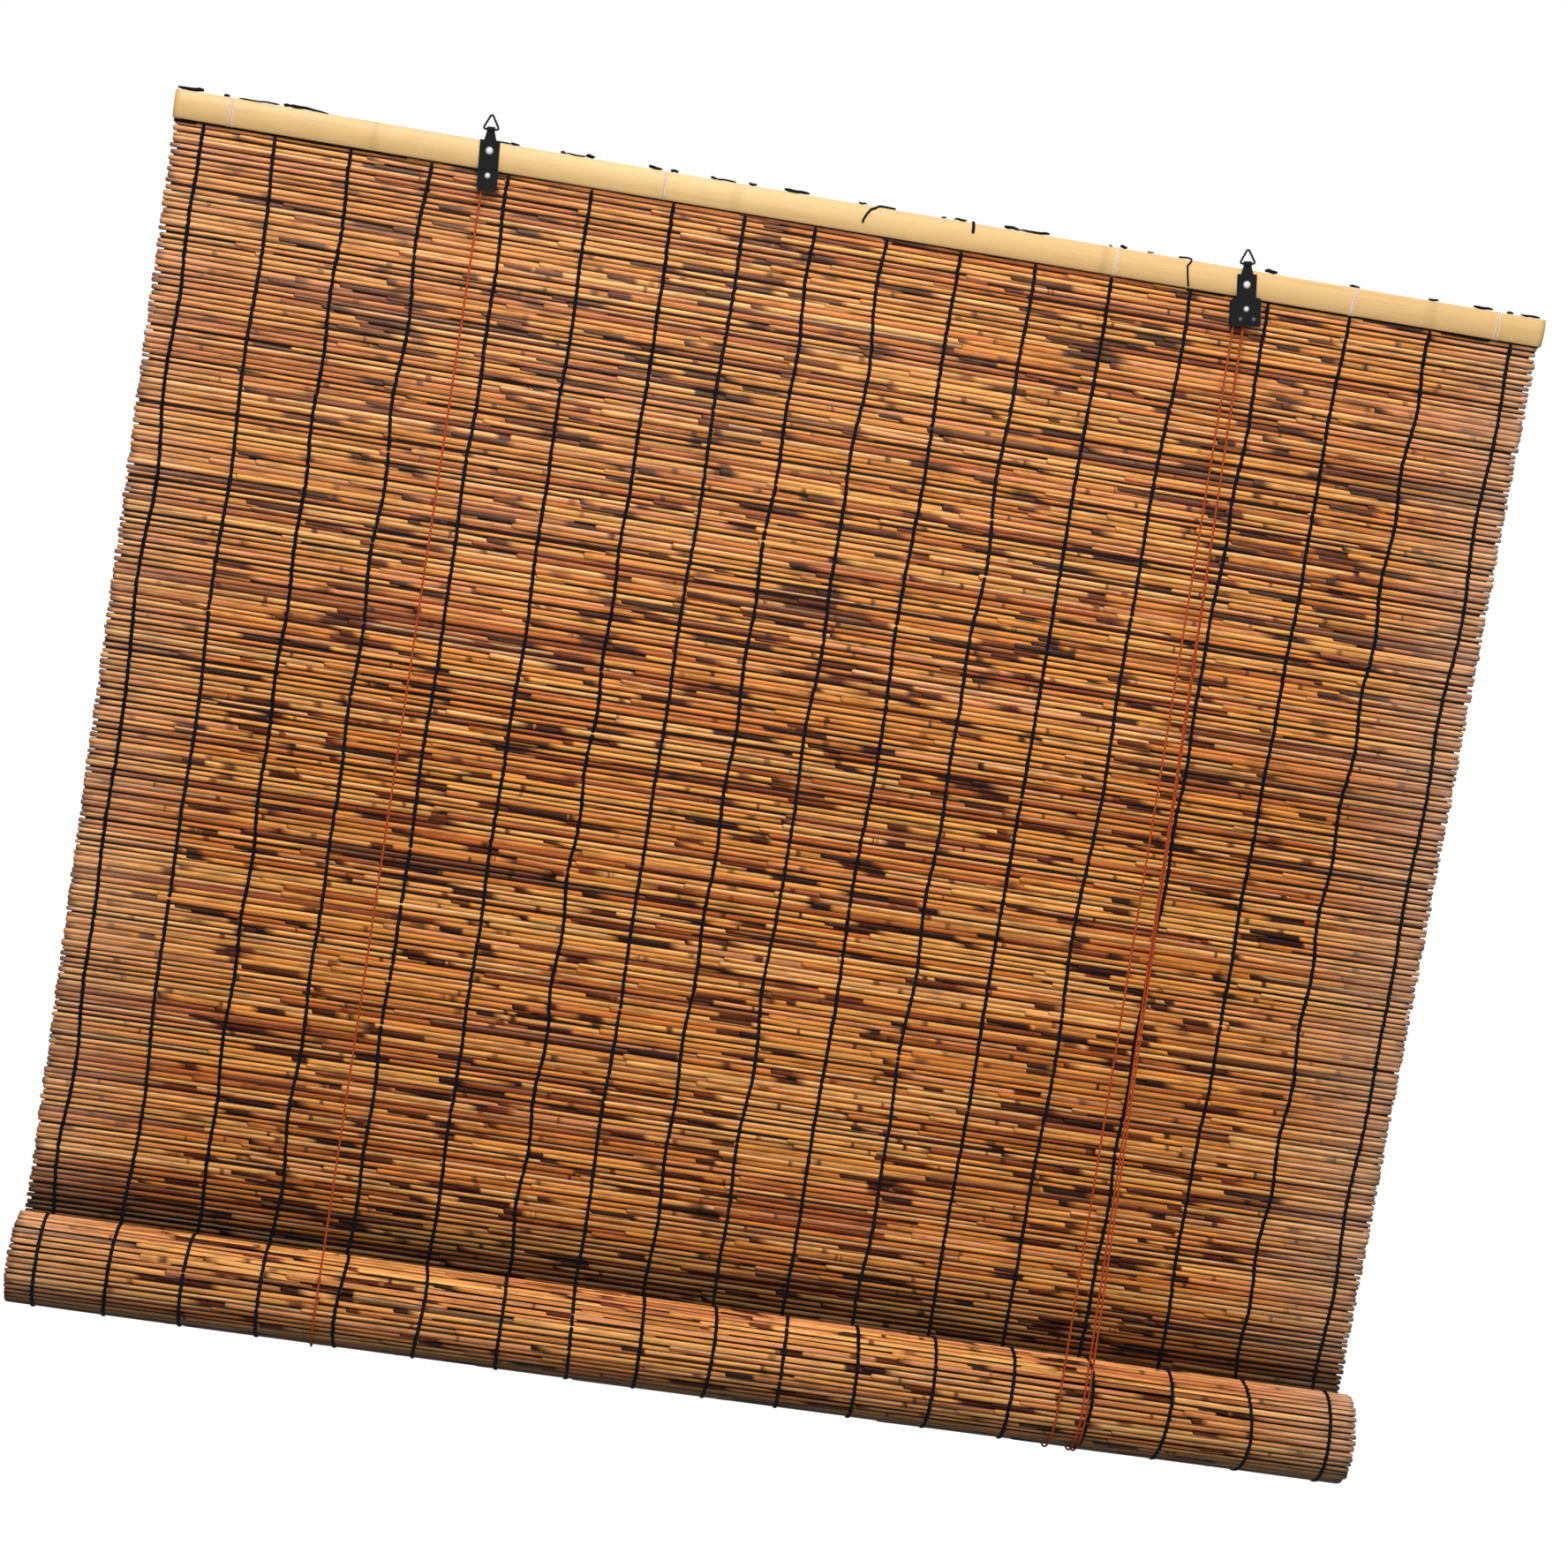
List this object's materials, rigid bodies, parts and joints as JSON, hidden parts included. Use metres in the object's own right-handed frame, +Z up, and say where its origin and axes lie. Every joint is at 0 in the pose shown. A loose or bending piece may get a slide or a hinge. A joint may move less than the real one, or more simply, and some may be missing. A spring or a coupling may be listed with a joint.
{
  "type": "reed roll-up blind",
  "caption": "Hanging reed mat woven with dark warp threads, its lower part rolled up in front and held by cord slings, with split bamboo head battens, ringed hangers and a cord lock.",
  "frame": {"origin": "mid width, on the mat's middle plane, level with the head battens' top edges", "axes": "X along the width, front towards -Y, Z up"},
  "size_m": [1.2, 0.1002, 1.0833],
  "materials": {
    "reed": "carbonised reed, golden brown, satin",
    "batten": "pale split bamboo, soft gloss",
    "tie": "cream binding",
    "thread": "black cotton thread",
    "rod": "plain bamboo rod",
    "hanger": "black paint on pressed sheet and wire",
    "rivet": "bright",
    "pin": "dark steel",
    "wheel": "plain moulded",
    "cord": "rust-coloured twisted cord"
  },
  "bodies": {
    "head": {"front_batten": "batten", "back_batten": "batten", "batten_ties": "tie", "reed_mat": "reed", "front_warps": "thread", "back_warps": "thread", "left_hanger": "hanger", "left_rivet": "rivet", "left_washer": "rivet", "pulley_axle": "rivet", "right_hanger": "hanger", "right_rivet": "rivet", "right_washer": "rivet", "lock_rivet": "rivet", "lock_housing": "hanger", "lock_axle": "pin", "cam_pin": "pin", "left_lift_front": "cord", "left_lift_back": "cord", "left_lift_loop": "cord", "right_lift_front": "cord", "right_lift_back": "cord", "right_lift_loop": "cord", "right_lift_turn": "cord", "cross_cord": "cord", "pull_strand_a": "cord", "pull_strand_b": "cord"},
    "lift": {"left_lift_sling": "cord", "right_lift_sling": "cord", "pull_tail_a": "cord", "pull_tail_b": "cord", "pull_hank": "cord"},
    "roll": {"reed_roll": "reed", "roll_warps": "thread", "bottom_rod": "rod"},
    "left_ring": {"left_ring": "hanger"},
    "right_ring": {"right_ring": "hanger"},
    "pulley": {"pulley_wheel": "wheel"},
    "lock_wheel": {"lock_wheel": "wheel"},
    "cam": {"lock_cam": "pin"}
  },
  "joints": [
    {"name": "roll_lift", "type": "slide", "parent": "head", "child": "lift", "axis": [0, 0, 1], "range_m": [0, 0.9], "deforming": ["reed_mat", "front_warps", "back_warps", "left_lift_front", "left_lift_back", "right_lift_front", "right_lift_back", "pull_strand_a", "pull_strand_b"]},
    {"name": "roll_spin", "type": "hinge", "parent": "lift", "child": "roll", "pos_m": [0, -0.04035, -1.015], "axis": [1, 0, 0], "range_deg": [-1080, 0]},
    {"name": "left_ring_swing", "type": "hinge", "parent": "head", "child": "left_ring", "pos_m": [-0.33326, -0.01, 0.00996], "axis": [0.9976, 0, 0.0698], "range_deg": [-90, 90]},
    {"name": "right_ring_swing", "type": "hinge", "parent": "head", "child": "right_ring", "pos_m": [0.32949, -0.01, 0.00483], "axis": [0.9903, 0, 0.1392], "range_deg": [-90, 90]},
    {"name": "pulley_spin", "type": "hinge", "parent": "head", "child": "pulley", "pos_m": [-0.33054, -0.00673, -0.02895], "axis": [0, 1, 0], "range_deg": [0, 28650]},
    {"name": "lock_wheel_spin", "type": "hinge", "parent": "head", "child": "lock_wheel", "pos_m": [0.33127, -0.0073, -0.04294], "axis": [0, 1, 0], "range_deg": [0, 22920]},
    {"name": "cam_release", "type": "hinge", "parent": "head", "child": "cam", "pos_m": [0.34296, -0.0082, -0.0413], "axis": [0, -1, 0], "range_deg": [0, 20]}
  ],
  "couplings": [
    {"joint": "roll_spin", "follows": "roll_lift", "rad_per_m": -20.934},
    {"joint": "pulley_spin", "follows": "roll_lift", "rad_per_m": 555.56},
    {"joint": "lock_wheel_spin", "follows": "roll_lift", "rad_per_m": 444.44}
  ]
}
